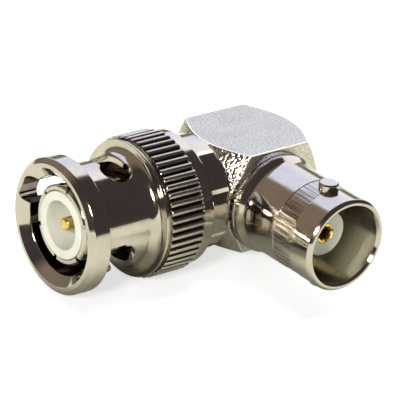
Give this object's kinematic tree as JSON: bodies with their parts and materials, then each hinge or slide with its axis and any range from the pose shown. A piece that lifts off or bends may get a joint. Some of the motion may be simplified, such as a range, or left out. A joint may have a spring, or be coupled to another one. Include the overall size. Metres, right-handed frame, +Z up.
{
  "type": "right-angle bayonet coaxial adapter",
  "caption": "Right-angle coaxial adapter: a bayonet plug with a knurled coupling nut on one leg of a square elbow block, a bayonet jack with two lugs on the other.",
  "frame": {"origin": "on the jack's axis, at the bottom of the jack bore (the jack's reference plane)", "axes": "-Y out of the jack's mouth, -X out of the plug's mouth, +Z up through the matt flat of the elbow block"},
  "size_m": [0.0292, 0.0245, 0.0144],
  "materials": {
    "nickel": "bright nickel plate on turned brass, brushed matt on the block's flats",
    "gold": "gold plate on the centre contacts",
    "ptfe": "turned white fluoropolymer, slightly waxy",
    "silicone": "soft silicone rubber, dull",
    "spring_steel": "rolled spring strip, satin"
  },
  "bodies": {
    "adapter": {"elbow_body": "nickel", "access_cap": "nickel", "cap_insulator": "ptfe", "jack_shell": "nickel", "jack_insulator": "ptfe", "jack_contact": "gold", "plug_sleeve": "nickel", "plug_outer_contact": "nickel", "plug_insulator": "ptfe", "plug_pin": "gold", "gasket": "silicone", "front_washer": "spring_steel", "wave_spring": "spring_steel"},
    "thrust_washer": {"rear_washer": "spring_steel"},
    "nut": {"coupling_nut": "nickel", "snap_ring": "spring_steel"}
  },
  "joints": [
    {"name": "nut_slide", "type": "slide", "parent": "adapter", "child": "thrust_washer", "axis": [-1, 0, 0], "range_m": [0, 0.0008], "stiffness_N_per_m": 6000, "springref_m": -0.0005, "deforming": ["wave_spring"]},
    {"name": "nut_turn", "type": "hinge", "parent": "thrust_washer", "child": "nut", "pos_m": [-0.0129, 0.00894, 0], "axis": [-1, 0, 0], "continuous": true}
  ]
}
